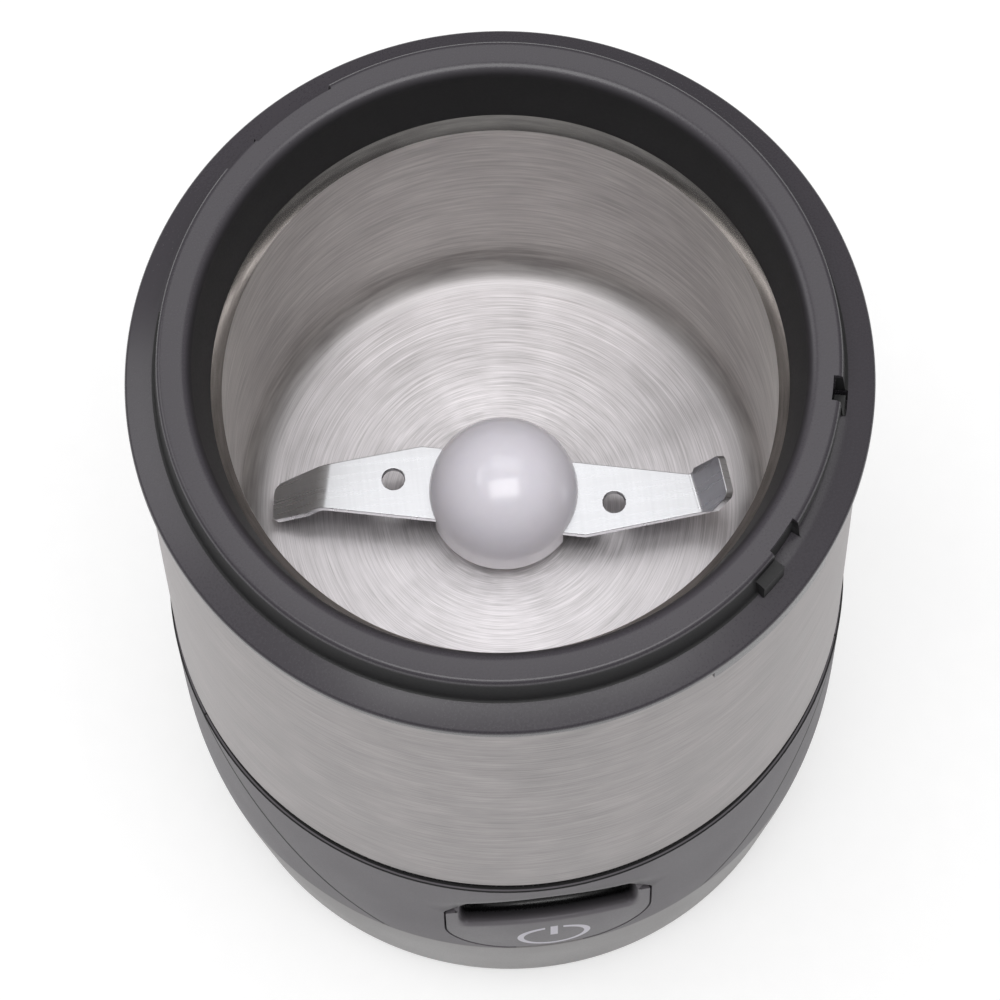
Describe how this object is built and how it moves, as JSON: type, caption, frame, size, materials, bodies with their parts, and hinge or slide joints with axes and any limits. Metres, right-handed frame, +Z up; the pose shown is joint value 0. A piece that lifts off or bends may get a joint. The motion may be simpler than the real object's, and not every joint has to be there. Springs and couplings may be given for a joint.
{
  "type": "electric spice grinder",
  "caption": "Upright electric spice grinder with an open steel grinding bowl, a two armed blade under a domed hub cap, a bayonet neck for a lid and a rocking power paddle in its base.",
  "frame": {"origin": "centre of the circle that the feet stand on, on the floor", "axes": "+Z up along the motor's axis, -Y towards the power paddle at the front, +X to the right of someone facing the paddle"},
  "size_m": [0.1, 0.1, 0.1455],
  "materials": {
    "collar_plastic": "dark grey moulded plastic, low sheen",
    "housing_plastic": "warm dark grey moulded plastic, fine matte texture",
    "paddle_plastic": "dark grey moulded plastic with a pale printed power symbol",
    "band_paint": "silver grey satin paint",
    "brushed_steel": "stainless steel brushed round the body",
    "polished_steel": "bright rolled stainless steel",
    "cap_plastic": "glossy white plastic with a faint lilac tint",
    "black_rubber": "matte black rubber",
    "frame_plastic": "black glass filled plastic",
    "white_plastic": "natural white plastic",
    "zinc_screw": "bright zinc plated steel",
    "plated_plate": "zinc plated sheet steel",
    "lamination": "varnished stacked steel plates",
    "copper_wire": "enamelled copper wire",
    "copper_bar": "turned copper",
    "bronze": "oil filled sintered bronze",
    "carbon": "pressed carbon",
    "ground_steel": "ground steel bar"
  },
  "bodies": {
    "root": {"rubber_feet": "black_rubber", "base_plate": "frame_plastic", "base_screws": "zinc_screw", "lower_band": "band_paint", "base_shell": "housing_plastic", "front_panel": "housing_plastic", "button_pin": "ground_steel", "switch_bracket": "frame_plastic", "power_switch": "frame_plastic", "switch_screws": "zinc_screw", "cord_clamp": "frame_plastic", "clamp_screws": "zinc_screw", "interlock_switch": "frame_plastic", "trim_ring": "collar_plastic", "frame_screws": "zinc_screw", "sleeve": "brushed_steel", "chassis": "frame_plastic", "collar": "collar_plastic", "collar_screws": "zinc_screw", "bowl": "brushed_steel", "bowl_gasket": "black_rubber", "shaft_seal": "black_rubber", "motor_mounts": "black_rubber", "mount_screws": "zinc_screw", "top_bracket": "plated_plate", "top_bearing": "bronze", "stator_core": "lamination", "field_coils": "copper_wire", "brush_bridge": "frame_plastic", "lower_bearing": "bronze", "carbon_brushes": "carbon", "brush_springs": "polished_steel", "through_bolts": "zinc_screw"},
    "rotor": {"motor_shaft": "ground_steel", "armature_core": "lamination", "armature_winding": "copper_wire", "commutator": "copper_bar", "fan": "white_plastic", "blade_spacer": "white_plastic", "blade": "polished_steel", "hub_cap": "cap_plastic"},
    "button": {"button": "paddle_plastic"},
    "switch_plunger": {"switch_plunger": "white_plastic"},
    "interlock_rod": {"interlock_rod": "white_plastic"},
    "interlock_plunger": {"interlock_plunger": "white_plastic"}
  },
  "joints": [
    {"name": "rotor_spin", "type": "hinge", "parent": "root", "child": "rotor", "pos_m": [0, 0, 0.05], "axis": [0, 0, 1], "continuous": true},
    {"name": "paddle_tilt", "type": "hinge", "parent": "root", "child": "button", "pos_m": [0, -0.0415, 0.03], "axis": [-1, 0, 0], "range_deg": [0, 7], "stiffness_Nm_per_rad": 0.1, "springref_deg": -8.59},
    {"name": "switch_travel", "type": "slide", "parent": "root", "child": "switch_plunger", "axis": [0, 1, 0], "range_m": [0, 0.0012]},
    {"name": "interlock_travel", "type": "slide", "parent": "root", "child": "interlock_rod", "axis": [0, 0, -1], "range_m": [0, 0.002], "stiffness_N_per_m": 150, "springref_m": -0.002},
    {"name": "interlock_switch_travel", "type": "slide", "parent": "root", "child": "interlock_plunger", "axis": [0, 0, -1], "range_m": [0, 0.002]}
  ],
  "couplings": [
    {"joint": "switch_travel", "follows": "paddle_tilt", "m_per_rad": 0.009},
    {"joint": "interlock_switch_travel", "follows": "interlock_travel", "ratio": 1}
  ]
}
